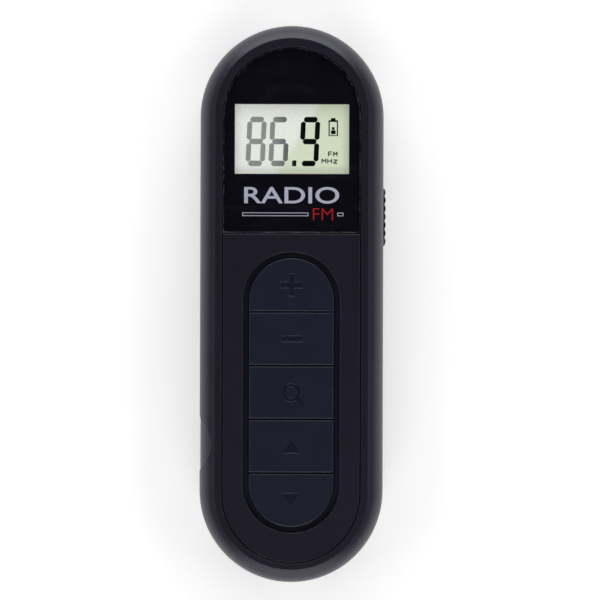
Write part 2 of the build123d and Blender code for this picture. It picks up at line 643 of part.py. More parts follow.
def make_lcd_connector_strip():
    """Elastomer strip pressed between the board and the glass's ledge."""
    y = LCD_LOWER_Y - LCD_LEDGE / 2
    return block_at(0, y, LCD_WIDTH - 2, STRIP_WIDTH, PCB_TOP, GLASS_TOP - LCD_SHEET)


# ---- Board and what is soldered to it ----
def jack_pin_points():
    x = JACK_WIDTH / 2 - 2 * PIN_RADIUS
    middle = (JACK_FRONT + JACK_BACK) / 2
    points = [(-x, middle - JACK_PIN_SPACING), (x, middle), (-x, middle + JACK_PIN_SPACING)]
    return points


def slide_switch_pin_points():
    spacing = SLIDE_SWITCH_LENGTH / 3
    return [(SLIDE_SWITCH_X, SLIDER_MIDDLE_Y + step * spacing) for step in (-1, 0, 1)]


def make_main_pcb():
    board = stadium(CASE_WIDTH - 2 * PCB_INSET, CASE_LENGTH - 2 * PCB_INSET, PCB_BOTTOM, PCB_TOP)
    board -= block(-CASE_WIDTH, CASE_WIDTH, -CASE_LENGTH, LOWER_END + PCB_END_GAP, 0, CASE_DEPTH)
    for x, y in screw_points():
        board -= rod(x, y, 0, CASE_DEPTH, FRONT_BOSS_RADIUS + BOSS_CLEARANCE)
    for x, y in pcb_screw_points():
        board -= rod(x, y, 0, CASE_DEPTH, PCB_SCREW_RADIUS + PIN_CLEARANCE)
    for x, y in jack_pin_points() + slide_switch_pin_points():
        board -= rod(x, y, 0, CASE_DEPTH, PIN_RADIUS + PIN_CLEARANCE)
    for side in (-1, 1):
        board -= contact_tab(side, TAB_CLEARANCE)
    return board - holder_pegs(HOLDER_PEG_RADIUS + PIN_CLEARANCE, 0)


def gull_wing_chip(x, y, width, length, height, leads, pitch):
    """A chip under the board with a row of bent leads on each side."""
    body = block_at(x, y, width, length, PCB_BOTTOM - height, PCB_BOTTOM - 0.15)
    for lead in range(leads):
        lead_y = y + (lead - (leads - 1) / 2) * pitch
        shoulder = PCB_BOTTOM - height / 2
        body += block_at(x, lead_y, width + 1.2, 0.35, shoulder - 0.12, shoulder + 0.12)
        for side in (-1, 1):
            foot_x = x + side * (width / 2 + 0.75)
            body += block_at(foot_x, lead_y, 0.3, 0.35, shoulder - 0.12, PCB_BOTTOM)
            body += block_at(foot_x + side * 0.3, lead_y, 0.9, 0.35, PCB_BOTTOM - 0.2, PCB_BOTTOM)
    return body


def make_radio_chip():
    return gull_wing_chip(-9.5, DISPLAY_Y - 2.0, 3.9, 9.9, 1.6, 8, 1.27)


def make_control_chip():
    return gull_wing_chip(7.0, DISPLAY_Y, 7.0, 11.0, 1.5, 14, 0.75)


def make_crystal():
    """A flat, round-ended metal can that lies under the board."""
    can = extrude(SlotOverall(11.0, 4.6), 3.4)
    base = extrude(SlotOverall(12.0, 5.2), 0.5)
    return Pos(-8.5, DISPLAY_Y - 13.5, PCB_BOTTOM - 3.9) * (can + Pos(0, 0, 3.4) * base)


def make_electrolytic_capacitors():
    """Two upright cans under the board, each with a rolled groove near its foot."""
    cans = []
    for x, y in ((3.5, DISPLAY_Y - 14.0), (-10.5, DISPLAY_Y - 22.0)):
        can = rod(x, y, PCB_BOTTOM - 7.0, PCB_BOTTOM, 2.5)
        can = fillet(can.edges().sort_by(Axis.Z)[0], 0.4)
        groove = rod(x, y, PCB_BOTTOM - 1.6, PCB_BOTTOM - 1.1, 3.0) - rod(x, y, 0, CASE_DEPTH, 2.3)
        cans.append(can - groove)
    return cans


def make_rf_inductor():
    """A small drum coil: two flanges with the winding between them."""
    x, y = -8.0, DISPLAY_Y + 8.5
    coil = rod(x, y, PCB_BOTTOM - 2.6, PCB_BOTTOM, 1.4)
    coil += rod(x, y, PCB_BOTTOM - 3.0, PCB_BOTTOM - 2.4, 2.0)
    return coil + rod(x, y, PCB_BOTTOM - 0.6, PCB_BOTTOM, 2.0)


def make_chip_passives():
    """Small resistors and capacitors, in short rows under the board."""
    pieces = []
    for row, x in enumerate((-3.0, -0.8, 13.6)):
        for step in range(5):
            y = DISPLAY_Y - 7.0 + 2.6 * step + 0.6 * row
            body = block_at(x, y, 0.8, 1.6, PCB_BOTTOM - 0.5, PCB_BOTTOM)
            pieces.append(body)
    return pieces


# ---- Slider and its switch ----
def make_power_slider():
    """Ribbed cap on a stem that passes the case's wall and grips the switch's lever."""
    back = POCKET_FLOOR + LIP_CLEARANCE
    cap = side_slot(SLIDER_Y, PARTING, SLIDER_LENGTH, SLIDER_WIDTH, back, RIGHT_SIDE + SLIDER_PROUD)
    outline = side_slot(SLIDER_Y, PARTING, SLIDER_LENGTH, SLIDER_WIDTH, RIGHT_SIDE, RIGHT_SIDE + 1)
    for rib in range(RIB_COUNT):
        y = SLIDER_Y + (rib - (RIB_COUNT - 1) / 2) * RIB_PITCH
        crest = rod(RIGHT_SIDE + RIB_PROUD - RIB_RADIUS, y, 0, CASE_DEPTH, RIB_RADIUS)
        cap += crest & outline
    inner = SLIDE_SWITCH_FACE + LEVER_CLEARANCE + 0.3
    z0, z1 = PARTING - STEM_WIDTH / 2, PARTING + STEM_WIDTH / 2
    y0, y1 = SLIDER_Y - STEM_LENGTH / 2, SLIDER_Y + STEM_LENGTH / 2
    stem = block(inner, back + 0.1, y0, y1, z0, z1)
    flange_outer = RIGHT_SIDE - CASE_WALL - POCKET_CLEARANCE
    flange_inner = flange_outer - STEM_FLANGE_THICKNESS
    grow = STEM_FLANGE
    stem += block(flange_inner, flange_outer, y0 - grow, y1 + grow, z0 - grow, z1 + grow)
    socket = LEVER_SIZE / 2 + LEVER_CLEARANCE
    depth = inner + LEVER_GRIP + LEVER_CLEARANCE
    stem -= block(inner - 1, depth, SLIDER_Y - socket, SLIDER_Y + socket, PARTING - socket, PARTING + socket)
    return cap + stem


def make_switch_lever():
    half = LEVER_SIZE / 2
    root = SLIDE_SWITCH_X
    tip = SLIDE_SWITCH_FACE + LEVER_CLEARANCE + 0.3 + LEVER_GRIP
    return block(root, tip, SLIDER_Y - half, SLIDER_Y + half, PARTING - half, PARTING + half)


def make_slide_switch_body():
    """Switch case under the board, open towards the case's side for the lever."""
    x0 = SLIDE_SWITCH_FACE - SLIDE_SWITCH_WIDTH
    y0 = SLIDER_MIDDLE_Y - SLIDE_SWITCH_LENGTH / 2
    y1 = SLIDER_MIDDLE_Y + SLIDE_SWITCH_LENGTH / 2
    body = block(x0, SLIDE_SWITCH_FACE, y0, y1, PARTING - SLIDE_SWITCH_BELOW_AXIS, PCB_BOTTOM)
    track = (LEVER_SIZE + SLIDER_TRAVEL) / 2 + LEVER_CLEARANCE
    half = LEVER_SIZE / 2 + LEVER_CLEARANCE
    back = SLIDE_SWITCH_X - LEVER_CLEARANCE
    body -= block(
        back, CASE_WIDTH, SLIDER_MIDDLE_Y - track, SLIDER_MIDDLE_Y + track, PARTING - half, PARTING + half
    )
    for x, y in slide_switch_pin_points():
        body += rod(x, y, PCB_BOTTOM - 0.5, PCB_TOP + PIN_STANDOUT, PIN_RADIUS)
    return body


# ---- Headphone socket ----
def make_headphone_jack_body():
    half = JACK_WIDTH / 2
    body = block(-half, half, JACK_BACK, JACK_FRONT, PARTING - AXIS_BELOW_BOARD, PCB_BOTTOM)
    body -= rod_along_y(0, PARTING, BUSH_END - SOCKET_DEPTH, TOP_END, SOCKET_RADIUS)
    for x, y in jack_pin_points():
        body -= rod(x, y, PCB_BOTTOM - 1.2, PCB_TOP, PIN_RADIUS)
    return body


def make_headphone_jack_bush():
    bush = rod_along_y(0, PARTING, JACK_FRONT, BUSH_END, BUSH_RADIUS)
    bush -= rod_along_y(0, PARTING, JACK_FRONT - 1, BUSH_END + 1, SOCKET_RADIUS)
    return chamfer(bush.edges().group_by(Axis.Y)[-1], 0.25)


def make_headphone_jack_pins():
    return [rod(x, y, PCB_BOTTOM - 1.2, PCB_TOP + PIN_STANDOUT, PIN_RADIUS) for x, y in jack_pin_points()]


# ---- Cells and contacts ----
def make_cell(side):
    """An AAA cell. The left one points up the case and the right one down it."""
    x = side * CELL_SPACING / 2
    can_length = CELL_LENGTH - CELL_NUB_LENGTH
    can = rod_along_y(x, CELL_Z, 0, can_length, CELL_RADIUS)
    can = fillet(can.edges(), CELL_EDGE)
    cell = can + rod_along_y(x, CELL_Z, can_length - 0.5, CELL_LENGTH, CELL_NUB_RADIUS)
    spring_end = CONTACT_THICKNESS + SPRING_LENGTH + CONTACT_GAP
    if side < 0:
        return Pos(0, BAY_START + spring_end, 0) * cell
    flipped = Pos(2 * x, 0, 0) * Rot(0, 0, 180) * cell
    return Pos(0, BAY_STOP - spring_end, 0) * flipped


def contact_spring(x, direction):
    """A tapering coil that stands on a contact plate and presses on a cell's flat end."""
    start = BAY_START if direction > 0 else BAY_STOP
    foot = start + direction * (SPRING_WIRE_RADIUS + CONTACT_GAP)
    rise = CONTACT_THICKNESS + SPRING_LENGTH - 2 * SPRING_WIRE_RADIUS - CONTACT_GAP
    taper = math.degrees(math.atan2(SPRING_RADIUS - SPRING_TIP_RADIUS, rise))
    path = Helix(rise / SPRING_TURNS, rise, SPRING_RADIUS, cone_angle=-taper)
    section = Plane(origin=path @ 0, z_dir=path % 0) * Circle(SPRING_WIRE_RADIUS)
    coil = sweep(section, path=path, is_frenet=True)
    turn = -90 if direction > 0 else 90
    return Pos(x, foot, CELL_Z) * Rot(turn, 0, 0) * coil


def contact_plate(x, direction):
    """A thin plate against the bay's end wall."""
    start = BAY_START if direction > 0 else BAY_STOP
    y0 = min(start, start + direction * CONTACT_THICKNESS)
    half = CONTACT_WIDTH / 2
    return block(x - half, x + half, y0, y0 + CONTACT_THICKNESS, CELL_Z - half, CELL_Z + half)


def contact_dimple(x, direction):
    """A raised button that meets a cell's nub."""
    start = BAY_START if direction > 0 else BAY_STOP
    y0 = start + direction * CONTACT_THICKNESS / 2
    y1 = start + direction * (CONTACT_THICKNESS + CONTACT_DIMPLE)
    return rod_along_y(x, CELL_Z, min(y0, y1), max(y0, y1), CONTACT_DIMPLE_RADIUS)


def contact_tab(side, grow):
    """Solder tab that runs up to the board, or with grow the slot that it passes."""
    x = side * CELL_SPACING / 2
    half = TAB_WIDTH / 2 + grow
    top = PCB_TOP + PIN_STANDOUT + grow
    return block(x - half, x + half, BAY_STOP - CONTACT_THICKNESS - grow, BAY_STOP + grow, CELL_Z, top)


def make_battery_positive_contact():
    x = -CELL_SPACING / 2
    return contact_plate(x, -1) + contact_dimple(x, -1) + contact_tab(-1, 0)


def make_battery_negative_contact():
    x = CELL_SPACING / 2
    return contact_plate(x, -1) + contact_spring(x, -1) + contact_tab(1, 0)


def make_battery_link_contact():
    x = CELL_SPACING / 2
    plates = contact_plate(-x, 1) + contact_plate(x, 1)
    half = CONTACT_WIDTH / 2
    plates += block(-x, x, BAY_START, BAY_START + CONTACT_THICKNESS, CELL_Z - half / 2, CELL_Z + half / 2)
    return plates + contact_spring(-x, 1) + contact_dimple(x, 1)


PARTS = {
    "front_shell": make_front_shell(),
    "rear_shell": make_rear_shell(),
    "battery_door": make_battery_door(),
    "case_screws": make_case_screws(),
    "pcb_screws": make_pcb_screws(),
    "display_lens": make_display_lens(),
    "lens_mask_film": make_lens_mask_film(),
    "lens_tape": make_lens_tape(),
    "keypad_fascia": make_keypad_fascia(),
    "fascia_tape": make_fascia_tape(),
    "tact_switch_bodies": make_tact_switch_bodies(),
    "lcd_front_polariser": make_lcd_front_polariser(),
    "lcd_glass": make_lcd_glass(),
    "lcd_rear_polariser": make_lcd_rear_polariser(),
    "lcd_light_guide": make_lcd_light_guide(),
    "lcd_reflector": make_lcd_reflector(),
    "backlight_leds": make_backlight_leds(),
    "lcd_holder": make_lcd_holder(),
    "lcd_connector_strip": make_lcd_connector_strip(),
    "main_pcb": make_main_pcb(),
    "radio_chip": make_radio_chip(),
    "control_chip": make_control_chip(),
    "crystal": make_crystal(),
    "electrolytic_capacitors": make_electrolytic_capacitors(),
    "rf_inductor": make_rf_inductor(),
    "chip_passives": make_chip_passives(),
    "power_slider": make_power_slider(),
    "switch_lever": make_switch_lever(),
    "slide_switch_body": make_slide_switch_body(),
    "headphone_jack_body": make_headphone_jack_body(),
    "headphone_jack_bush": make_headphone_jack_bush(),
    "headphone_jack_pins": make_headphone_jack_pins(),
    "battery_left": make_cell(-1),
    "battery_right": make_cell(1),
    "battery_positive_contact": make_battery_positive_contact(),
    "battery_negative_contact": make_battery_negative_contact(),
    "battery_link_contact": make_battery_link_contact(),
}
for number, key_name in enumerate(KEY_NAMES):
    PARTS[f"key_{key_name}"] = make_key(number)
    PARTS[f"plunger_{key_name}"] = make_plunger(number)

os.makedirs("parts", exist_ok=True)
for name, shape in PARTS.items():
    solid = Compound(children=shape) if isinstance(shape, list) else shape
    export_step(solid, f"parts/{name}.step")
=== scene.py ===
import json
import math
import bpy
import bmesh
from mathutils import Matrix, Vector


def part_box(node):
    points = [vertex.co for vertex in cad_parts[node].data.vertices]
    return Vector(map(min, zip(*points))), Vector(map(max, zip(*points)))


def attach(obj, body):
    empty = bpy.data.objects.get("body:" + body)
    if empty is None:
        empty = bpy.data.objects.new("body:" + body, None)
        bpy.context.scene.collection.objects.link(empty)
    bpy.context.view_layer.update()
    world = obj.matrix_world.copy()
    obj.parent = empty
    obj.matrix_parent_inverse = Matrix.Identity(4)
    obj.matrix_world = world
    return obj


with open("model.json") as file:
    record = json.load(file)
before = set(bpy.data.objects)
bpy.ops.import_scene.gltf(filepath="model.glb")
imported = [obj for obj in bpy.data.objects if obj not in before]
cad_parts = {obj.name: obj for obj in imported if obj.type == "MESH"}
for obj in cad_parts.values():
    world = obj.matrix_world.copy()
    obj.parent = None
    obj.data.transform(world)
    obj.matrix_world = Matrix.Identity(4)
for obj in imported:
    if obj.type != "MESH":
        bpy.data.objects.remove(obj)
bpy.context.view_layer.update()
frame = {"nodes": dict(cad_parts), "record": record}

# The looks of a pocket FM radio that lies on its back. Everything is in metres, in the CAD's frame.
# Only the outlines of the print and of the display's marks are in millimetres, until plates() or
# lettering() makes a mesh of them.
NODES = frame["nodes"]
MM = 0.001


# ---- Places that come from the frame ----
FRONT_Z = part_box("front_shell")[1].z
FILM_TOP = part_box("lens_mask_film")[1].z
FACE_LOW, FACE_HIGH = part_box("lcd_front_polariser")
DISPLAY_Y = (FACE_LOW.y + FACE_HIGH.y) / 2
KEY_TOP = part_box("key_search")[1].z


# ---- Node trees ----
NOISE_LOW = 0.3                  # nearly all of a noise texture lies between these two values
NOISE_HIGH = 0.7
MIX_A = 6                        # a Mix node's colour inputs and output, by number
MIX_B = 7
MIX_RESULT = 2
EDGE_STARTS = 0.995              # cosine of the bevel's turn at which an edge starts to show as worn
EDGE_FULL = 0.85                 # and at which it is worn fully
SOCKETS = {
    "base_color": "Base Color",
    "roughness": "Roughness",
    "metallic": "Metallic",
    "normal": "Normal",
    "coat_weight": "Coat Weight",
    "specular": "Specular IOR Level",
    "specular_tint": "Specular Tint",
    "emission": "Emission Color",
    "emission_strength": "Emission Strength",
}


class Tree:
    """A material's node tree with one Principled shader, and short calls that add nodes to it."""

    def __init__(self, name):
        self.material = bpy.data.materials.new(name)
        self.material.use_nodes = True
        self.tree = self.material.node_tree
        self.tree.nodes.clear()
        self.output = self.tree.nodes.new("ShaderNodeOutputMaterial")
        self.shader = self.tree.nodes.new("ShaderNodeBsdfPrincipled")
        self.link(self.shader.outputs["BSDF"], self.output.inputs["Surface"])
        self.place = self.tree.nodes.new("ShaderNodeTexCoord").outputs["Object"]

    def link(self, source, target):
        self.tree.links.new(source, target)

    def feed(self, target, value):
        """Sets a socket to a number or colour, or links another socket to it."""
        if isinstance(value, bpy.types.NodeSocket):
            self.link(value, target)
        else:
            target.default_value = value

    def set(self, **values):
        """Sets the shader's own sockets, such as base_color for Base Color."""
        for name, value in values.items():
            socket = self.shader.inputs[SOCKETS[name]]
            self.feed(socket, value)

    def math(self, operation, a, b=0.0):
        node = self.tree.nodes.new("ShaderNodeMath")
        node.operation = operation
        self.feed(node.inputs[0], a)
        self.feed(node.inputs[1], b)
        return node.outputs[0]

    def stretched(self, x=1.0, y=1.0, z=1.0):
        """The object's coordinates, scaled along each axis."""
        node = self.tree.nodes.new("ShaderNodeMapping")
        self.link(self.place, node.inputs["Vector"])
        node.inputs["Scale"].default_value = (x, y, z)
        return node.outputs["Vector"]

    def noise(self, size, detail=3.0, place=None, distortion=0.0):
        """Noise whose blobs are about size metres across."""
        node = self.tree.nodes.new("ShaderNodeTexNoise")
        self.link(place or self.place, node.inputs["Vector"])
        node.inputs["Scale"].default_value = 1.0 / size
        node.inputs["Detail"].default_value = detail
        node.inputs["Roughness"].default_value = 0.55
        node.inputs["Distortion"].default_value = distortion
        return node.outputs["Fac"]

    def cell_borders(self, size):
        """Distance to the nearest border between cells about size metres across."""
        node = self.tree.nodes.new("ShaderNodeTexVoronoi")
        self.link(self.place, node.inputs["Vector"])
        node.feature = "DISTANCE_TO_EDGE"
        node.inputs["Scale"].default_value = 1.0 / size
        return node.outputs["Distance"]

    def spread(self, value, low, high, to_low=0.0, to_high=1.0):
        """Maps low..high of a value onto another range, and clamps it."""
        node = self.tree.nodes.new("ShaderNodeMapRange")
        self.feed(node.inputs["Value"], value)
        node.inputs["From Min"].default_value = low
        node.inputs["From Max"].default_value = high
        node.inputs["To Min"].default_value = to_low
        node.inputs["To Max"].default_value = to_high
        return node.outputs["Result"]

    def full(self, noise, to_low=0.0, to_high=1.0):
        """Stretches noise over the whole of another range."""
        return self.spread(noise, NOISE_LOW, NOISE_HIGH, to_low, to_high)

    def mix(self, factor, a, b):
        """A colour between a and b."""
        node = self.tree.nodes.new("ShaderNodeMix")
        node.data_type = "RGBA"
        self.feed(node.inputs["Factor"], factor)
        self.feed(node.inputs[MIX_A], a)
        self.feed(node.inputs[MIX_B], b)
        return node.outputs[MIX_RESULT]

    def axis(self, name):
        """One of the object's coordinates."""
        node = self.tree.nodes.new("ShaderNodeSeparateXYZ")
        self.link(self.place, node.inputs[0])
        return node.outputs[name]

    def edges(self, radius):
        """1 on sharp edges and 0 on flat faces, with the rounded normal that goes with it."""
        bevel = self.tree.nodes.new("ShaderNodeBevel")
        bevel.samples = 4
        bevel.inputs["Radius"].default_value = radius
        geometry = self.tree.nodes.new("ShaderNodeNewGeometry")
        dot = self.tree.nodes.new("ShaderNodeVectorMath")
        dot.operation = "DOT_PRODUCT"
        self.link(bevel.outputs["Normal"], dot.inputs[0])
        self.link(geometry.outputs["Normal"], dot.inputs[1])
        return self.spread(dot.outputs["Value"], EDGE_STARTS, EDGE_FULL), bevel.outputs["Normal"]

    def blend_shaders(self, factor, a, b):
        node = self.tree.nodes.new("ShaderNodeMixShader")
        self.feed(node.inputs["Fac"], factor)
        self.link(a.outputs[0], node.inputs[1])
        self.link(b.outputs[0], node.inputs[2])
        return node

    def bump(self, height, depth, strength, normal=None):
        """Relief depth metres deep, on top of another normal if one is given."""
        node = self.tree.nodes.new("ShaderNodeBump")
        node.inputs["Strength"].default_value = strength
        node.inputs["Distance"].default_value = depth
        self.link(height, node.inputs["Height"])
        if normal is not None:
            self.link(normal, node.inputs["Normal"])
        return node.outputs["Normal"]


def rgb(r, g, b):
    """A colour given in screen values from 0 to 255, as the linear colour that nodes take."""
    linear = []
    for value in (r, g, b):
        v = value / 255
        linear.append(v / 12.92 if v <= 0.04045 else ((v + 0.055) / 1.055) ** 2.4)
    return (*linear, 1.0)


def tint(colour, factor):
    return tuple(c * factor for c in colour[:3]) + (1.0,)


# ---- Materials ----
COOL_GLOSS = (0.84, 0.84, 1.0, 1)
DUST = (0.2, 0.2, 0.22, 1)
MOULD_RELIEF = 0.002 * MM
MOULD_FLOW = 9 * MM
EDGE_WEAR_AND_HIGHLIGHT_RADIUS = 0.26 * MM        # how far from an edge the plastic is worn by rubbing and painted lighter as a highlight
EDGE_WEAR_AND_HIGHLIGHT_PATCH = 1.6 * MM
DUST_SIZE = 0.32 * MM
ENGRAVED_FADE = 0.05 * MM
ENGRAVED_GLOSS = 0.36            # specular level in the engraving, lowered as painted shade, where 0.5 is plain plastic


def moulded_plastic(name, colour, rough=0.36, grain=0.11 * MM, wear_and_highlight=0.25, engraved_below=None):
    """Spark-eroded moulded plastic: fine grain, faint flow marks, a little dust, and lighter edges
    that are partly worn plastic and partly a painted highlight.

    Below the height engraved_below, in the engraving and down the part's sides, the colour is painted
    darker and the gloss lower, as painted shade.
    """
    t = Tree(name)
    grain_height = t.noise(grain, detail=2.0)
    flow = t.noise(MOULD_FLOW, detail=4.0, distortion=0.6)
    edge_mask, rounded = t.edges(EDGE_WEAR_AND_HIGHLIGHT_RADIUS)
    wear_and_highlight_mask = t.math("MULTIPLY", edge_mask, t.spread(t.noise(EDGE_WEAR_AND_HIGHLIGHT_PATCH), 0.35, 0.7))
    body = t.mix(t.full(flow), tint(colour, 0.88), tint(colour, 1.14))
    # Painted highlight: edges are mixed towards five times the base colour, partly worn plastic and
    # partly the light that an edge catches.
    body = t.mix(t.math("MULTIPLY", wear_and_highlight_mask, wear_and_highlight), body, tint(colour, 5.0))
    dust = t.spread(t.noise(DUST_SIZE, detail=0.0), 0.8, 0.87, 0.0, 0.1)
    body = t.mix(dust, body, DUST)
    fine = t.spread(grain_height, 0.2, 0.8, rough - 0.05, rough + 0.07)
    rough_map = t.math("SUBTRACT", fine, t.math("MULTIPLY", wear_and_highlight_mask, 0.08))
    if engraved_below is not None:
        # Painted shade: below engraved_below the colour is darkened and the gloss lowered.
        sunk_shade = t.spread(t.axis("Z"), engraved_below, engraved_below - ENGRAVED_FADE)
        body = t.mix(sunk_shade, body, tint(colour, 0.8))
        t.set(specular=t.spread(sunk_shade, 0.0, 1.0, 0.5, ENGRAVED_GLOSS))
    t.set(base_color=body, roughness=rough_map, specular_tint=COOL_GLOSS)
    t.set(normal=t.bump(grain_height, MOULD_RELIEF, 0.7, rounded))
    return t.material


def gloss_print():
    """Black ink behind the lens, with a faint violet cast."""
    t = Tree("mask_print")
    cloud = t.noise(5 * MM)
    t.set(base_color=t.mix(t.full(cloud), rgb(6, 5, 14), rgb(11, 9, 21)))
    t.set(roughness=t.full(t.noise(0.4 * MM), 0.28, 0.4), specular=0.12)
    return t.material


HARD_COAT = 0.35                 # share of the bare plastic's reflection that the coated one keeps
ACRYLIC_IOR = 1.49
LENS_SHINE = 0.03                # roughness of the cleanest parts
LENS_TONE = (0.985, 0.985, 0.99, 1)
EDGE_FROST = 0.55                # share of light that a chipped edge scatters
EDGE_CHIP = 1.1 * MM
EDGE_RADIUS = 0.22 * MM
HAZE = 0.007                     # share of light that the wiped haze scatters
FROST_DARK = (0.1, 0.1, 0.14, 1)
FROST_PALE = (0.7, 0.71, 0.82, 1)


def clear_lens(name, smear, tone=LENS_TONE, frosted=False):
    """Clear acrylic: it passes lamp light, mirrors by its Fresnel share, and carries faint smears.

    If frosted, its edges scatter a little light where the cutter left them rough, and so does a
    trace of haze.
    """
    t = Tree(name)
    t.tree.nodes.remove(t.shader)
    clear = t.tree.nodes.new("ShaderNodeBsdfTransparent")
    clear.inputs["Color"].default_value = tone
    gloss = t.tree.nodes.new("ShaderNodeBsdfGlossy")
    gloss.inputs["Color"].default_value = (1, 1, 1, 1)
    wiped = t.noise(6 * MM, detail=5.0, place=t.stretched(1.0, 0.35, 1.0), distortion=1.2)
    t.feed(gloss.inputs["Roughness"], t.spread(wiped, 0.35, 0.75, LENS_SHINE, LENS_SHINE + smear))
    ripple = t.noise(14 * MM, detail=1.0)
    t.feed(gloss.inputs["Normal"], t.bump(ripple, 0.02 * MM, 0.4))
    fresnel = t.tree.nodes.new("ShaderNodeFresnel")
    fresnel.inputs["IOR"].default_value = ACRYLIC_IOR
    geometry = t.tree.nodes.new("ShaderNodeNewGeometry")
    outside = t.math("SUBTRACT", 1.0, geometry.outputs["Backfacing"])
    share = t.math("MULTIPLY", fresnel.outputs["Fac"], outside)
    surface = t.blend_shaders(t.math("MULTIPLY", share, HARD_COAT), clear, gloss)
    if frosted:
        surface = t.blend_shaders(t.math("MULTIPLY", frost_share(t), outside), surface, frost(t))
    t.link(surface.outputs[0], t.output.inputs["Surface"])
    return t.material


def frost_share(t):
    """How much of the lens's light is scattered: most on chipped edges, a trace in wiped haze."""
    chipped = t.spread(t.noise(EDGE_CHIP), 0.35, 0.7)
    edge_mask = t.edges(EDGE_RADIUS)[0]
    edge = t.math("MULTIPLY", t.math("MULTIPLY", edge_mask, chipped), EDGE_FROST)
    wipe = t.noise(11 * MM, detail=2.0, place=t.stretched(0.6, 1.8, 1.0), distortion=1.6)
    return t.math("MAXIMUM", edge, t.spread(wipe, 0.52, 0.72, 0.0, HAZE))


def frost(t):
    """The scattered light's own shader."""
    node = t.tree.nodes.new("ShaderNodeBsdfDiffuse")
    chipped = t.spread(t.noise(EDGE_CHIP), 0.35, 0.7)
    t.feed(node.inputs["Color"], t.mix(chipped, FROST_DARK, FROST_PALE))
    return node


def ink(name, colour):
    """Printed ink with a slightly uneven film."""
    t = Tree(name)
    film = t.noise(0.25 * MM, detail=2.0)
    t.set(base_color=t.mix(t.full(film), tint(colour, 0.9), tint(colour, 1.08)))
    t.set(roughness=t.full(film, 0.35, 0.5))
    return t.material


BACKLIGHT = 0.44
SWEEP_SLOPE = -0.62              # the border of the painted reflection, between the display's two tones, leans by this much
SWEEP_FROM = 0.6 * MM
SWEEP_TO = 2.2 * MM
SHADE_LEFT = 14 * MM             # how far the slow change of tone reaches each way
SHADE_RIGHT = 15 * MM


def display_face():
    """The display's polariser: greener on the right, paler on the left where a reflection is painted
    over it, dimly lit from behind.
    """
    t = Tree("lcd_face")
    across = t.math("ADD", t.axis("X"), t.math("MULTIPLY", t.axis("Y"), SWEEP_SLOPE))
    start = SWEEP_SLOPE * DISPLAY_Y
    # Painted reflection: the paler tone left of this border stands for glare on the lens.
    reflection_fade = t.spread(across, start + SWEEP_FROM, start + SWEEP_TO)
    wide = t.spread(across, start - SHADE_LEFT, start + SHADE_RIGHT)
    pale = t.mix(wide, rgb(224, 226, 219), rgb(214, 218, 202))
    green = t.mix(wide, rgb(203, 211, 188), rgb(199, 209, 182))
    grain = t.noise(0.3 * MM, detail=2.0)
    face = t.mix(reflection_fade, pale, green)
    face = t.mix(t.full(grain, 0.0, 0.24), face, rgb(150, 160, 140))
    t.set(base_color=face, roughness=t.full(grain, 0.38, 0.55), specular=0.3)
    t.set(emission=face, emission_strength=BACKLIGHT)
    return t.material


FAINT_UNTIL = -6.0 * MM          # segments left of this are the faintest
DRIVEN_FROM = 0.6 * MM           # and right of this they are black


def display_segment():
    """Liquid crystal segments: fainter on the left, where they are only partly driven."""
    t = Tree("lcd_segment")
    drive = t.math("POWER", t.spread(t.axis("X"), FAINT_UNTIL, DRIVEN_FROM), 2.0)
    cloud = t.noise(1.8 * MM, detail=2.0)
    dark = t.mix(t.spread(cloud, 0.35, 0.65, 0.0, 0.35), rgb(3, 3, 3), rgb(10, 11, 9))
    t.set(base_color=t.mix(drive, rgb(158, 161, 155), dark), specular=0.08)
    t.set(roughness=t.full(cloud, 0.4, 0.5))
    return t.material


def plain_resin(name, colour, rough):
    """Unpolished moulded resin for the parts inside."""
    t = Tree(name)
    speck = t.noise(0.2 * MM)
    cloud = t.noise(3 * MM)
    t.set(base_color=t.mix(t.full(cloud), tint(colour, 0.85), tint(colour, 1.15)))
    t.set(roughness=t.full(speck, rough - 0.08, rough + 0.08))
    t.set(normal=t.bump(speck, 0.004 * MM, 0.6))
    return t.material


GRIME = 0.35                     # how strongly dull patches darken metal


def metal(name, colour, rough, brushed=1.0):
    """Bare or plated metal with fine scratches and dull patches."""
    t = Tree(name)
    streaks = t.stretched(1.0, 1.0 / (1 + 5 * brushed), 1.0)
    scratch = t.noise(0.15 * MM, detail=4.0, place=streaks)
    dull = t.spread(t.noise(1.4 * MM, detail=4.0), 0.45, 0.75)
    body = t.mix(t.math("MULTIPLY", dull, GRIME), colour, tint(colour, 0.45))
    t.set(base_color=body, metallic=1.0)
    fine = t.full(scratch, rough - 0.06, rough + 0.08)
    t.set(roughness=t.math("ADD", fine, t.math("MULTIPLY", dull, 0.12)))
    t.set(normal=t.bump(scratch, 0.003 * MM, 0.5 * brushed + 0.1))
    return t.material


TRACK_PITCH = 2.4 * MM


def circuit_board():
    """Green solder mask over copper tracks, with a faint glass weave."""
    t = Tree("board_laminate")
    lane = t.spread(t.cell_borders(TRACK_PITCH), 0.08, 0.12)
    body = t.mix(lane, rgb(20, 70, 42), rgb(10, 44, 28))
    weave = t.noise(0.3 * MM, detail=1.0)
    body = t.mix(t.full(weave, 0.0, 0.2), body, rgb(6, 30, 18))
    t.set(base_color=body, roughness=t.full(weave, 0.3, 0.42), coat_weight=0.4)
    t.set(normal=t.bump(lane, 0.02 * MM, 0.5))
    return t.material


CELL_BAND = 12 * MM
CELL_CRIMP = 0.7 * MM


